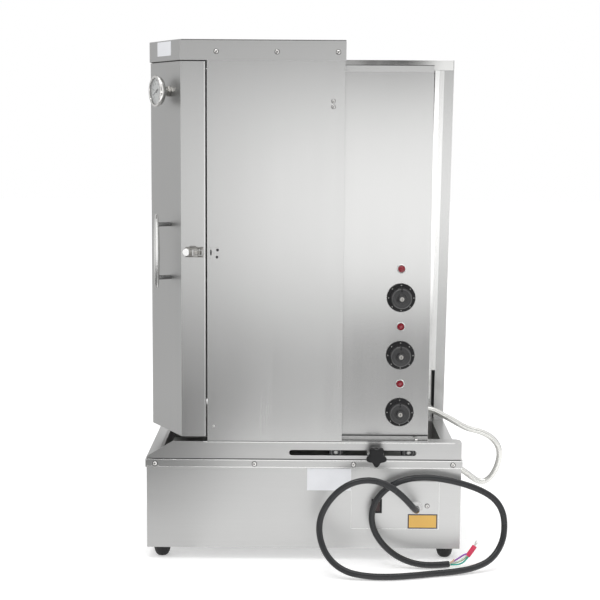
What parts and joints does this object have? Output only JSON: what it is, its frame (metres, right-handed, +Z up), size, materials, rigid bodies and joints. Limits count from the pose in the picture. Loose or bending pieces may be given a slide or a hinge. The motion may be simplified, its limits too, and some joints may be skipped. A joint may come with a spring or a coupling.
{
  "type": "vertical rotisserie",
  "caption": "Steel vertical rotisserie: hinged wrap-round door, upright turning spit, sliding heater block with knobs and lamps, on a low base with a drip pan.",
  "frame": {"origin": "centre of the footprint, at the height of the feet's treads", "axes": "+X from the door to the heater block, +Y from the control side to the hinge side, +Z up"},
  "size_m": [0.6732, 0.499, 0.938],
  "materials": {
    "brushed_steel": "brushed stainless sheet",
    "polished_steel": "polished stainless",
    "dark_tray": "satin black enamel",
    "black_rubber": "matt rubber",
    "black_plastic": "satin black plastic",
    "red_rocker": "gloss red plastic",
    "white_plastic": "satin white plastic",
    "motor_grey": "grey paint",
    "bearing_brass": "turned brass",
    "white_dial": "white printed-free dial",
    "black_needle": "black paint",
    "clear_glass": "clear glass",
    "dark_element": "oxidised metal sheath",
    "red_lens": "translucent red plastic",
    "pale_sleeve": "woven glass sleeve",
    "core_wires": "insulated cores"
  },
  "bodies": {
    "base": {"base_shell": "brushed_steel", "base_floor": "brushed_steel", "rubber_feet": "black_rubber", "deck_frame": "brushed_steel", "near_guide_wall": "brushed_steel", "far_guide_rail": "brushed_steel", "drip_pan": "dark_tray", "hatch_cover": "brushed_steel", "switch_housing": "black_plastic", "cord_gland": "white_plastic", "motor_stand": "brushed_steel", "gear_motor": "motor_grey", "top_crossbar": "brushed_steel", "top_bush": "bearing_brass", "near_side_panel": "brushed_steel", "far_side_panel": "polished_steel", "cap": "brushed_steel", "hinge_fixed_leaves": "brushed_steel", "latch_catch": "brushed_steel", "conduit_inlet": "polished_steel", "conduit": "pale_sleeve", "power_cord": "black_rubber", "cord_cores": "core_wires"},
    "door": {"door_skin": "brushed_steel", "door_liner": "brushed_steel", "door_handle": "polished_steel", "hinge_door_leaves": "brushed_steel", "latch_base": "brushed_steel", "thermometer_case": "polished_steel", "thermometer_bezel": "polished_steel", "thermometer_dial": "white_dial", "thermometer_glass": "clear_glass", "thermometer_nut": "polished_steel"},
    "needle": {"thermometer_needle": "black_needle"},
    "latch_lever": {"latch_lever": "brushed_steel"},
    "latch_link": {"latch_link": "brushed_steel"},
    "heater_block": {"control_panel": "brushed_steel", "far_slide_panel": "brushed_steel", "heater_top_cover": "brushed_steel", "heater_back_cover": "brushed_steel", "heater_floor": "brushed_steel", "reflector": "polished_steel", "heater_element_1": "dark_element", "heater_element_2": "dark_element", "heater_element_3": "dark_element", "heater_guard": "polished_steel", "regulator_bodies": "black_plastic", "indicator_lamps": "red_lens", "clamp_bracket": "brushed_steel", "clamp_washer": "polished_steel", "conduit_outlet": "polished_steel"},
    "knob_1": {"regulator_knob_1": "black_plastic"},
    "knob_2": {"regulator_knob_2": "black_plastic"},
    "knob_3": {"regulator_knob_3": "black_plastic"},
    "clamp_knob": {"clamp_knob": "black_plastic"},
    "rocker": {"switch_rocker": "red_rocker"},
    "spit": {"drive_shaft": "polished_steel", "drive_hub": "polished_steel", "spit_rod": "polished_steel", "meat_plate": "brushed_steel"}
  },
  "joints": [
    {"name": "door_swing", "type": "hinge", "parent": "base", "child": "door", "pos_m": [-0.1767, 0.2028, 0.565], "axis": [0, 0, -1], "range_deg": [0, 115]},
    {"name": "spit_turn", "type": "hinge", "parent": "base", "child": "spit", "pos_m": [-0.11, 0.014, 0.5], "axis": [0, 0, 1], "continuous": true},
    {"name": "heater_slide", "type": "slide", "parent": "base", "child": "heater_block", "axis": [1, 0, 0], "range_m": [-0.15, 0.068], "deforming": ["conduit"]},
    {"name": "needle_turn", "type": "hinge", "parent": "door", "child": "needle", "pos_m": [-0.26654, -0.13933, 0.848], "axis": [0.8761, 0.4822, 0], "range_deg": [0, 270]},
    {"name": "latch_lever_turn", "type": "hinge", "parent": "door", "child": "latch_lever", "pos_m": [-0.189, -0.1765, 0.564], "axis": [0, 0, 1], "range_deg": [0, 120]},
    {"name": "latch_link_turn", "type": "hinge", "parent": "latch_lever", "child": "latch_link", "pos_m": [-0.2, -0.181, 0.564], "axis": [0, 0, -1], "range_deg": [0, 120]},
    {"name": "clamp_turn", "type": "hinge", "parent": "heater_block", "child": "clamp_knob", "pos_m": [0.13, -0.171, 0.2], "axis": [0, -1, 0], "range_deg": [0, 360]},
    {"name": "switch_rock", "type": "hinge", "parent": "base", "child": "rocker", "pos_m": [0.133, -0.1725, 0.102], "axis": [-1, 0, 0], "range_deg": [0, 8]},
    {"name": "knob_1_turn", "type": "hinge", "parent": "heater_block", "child": "knob_1", "pos_m": [0.174, -0.141, 0.27], "axis": [0, 1, 0], "range_deg": [0, 300]},
    {"name": "knob_2_turn", "type": "hinge", "parent": "heater_block", "child": "knob_2", "pos_m": [0.174, -0.141, 0.3754], "axis": [0, 1, 0], "range_deg": [0, 300]},
    {"name": "knob_3_turn", "type": "hinge", "parent": "heater_block", "child": "knob_3", "pos_m": [0.174, -0.141, 0.4808], "axis": [0, 1, 0], "range_deg": [0, 300]}
  ],
  "couplings": [
    {"joint": "latch_link_turn", "follows": "latch_lever_turn", "ratio": 1}
  ]
}
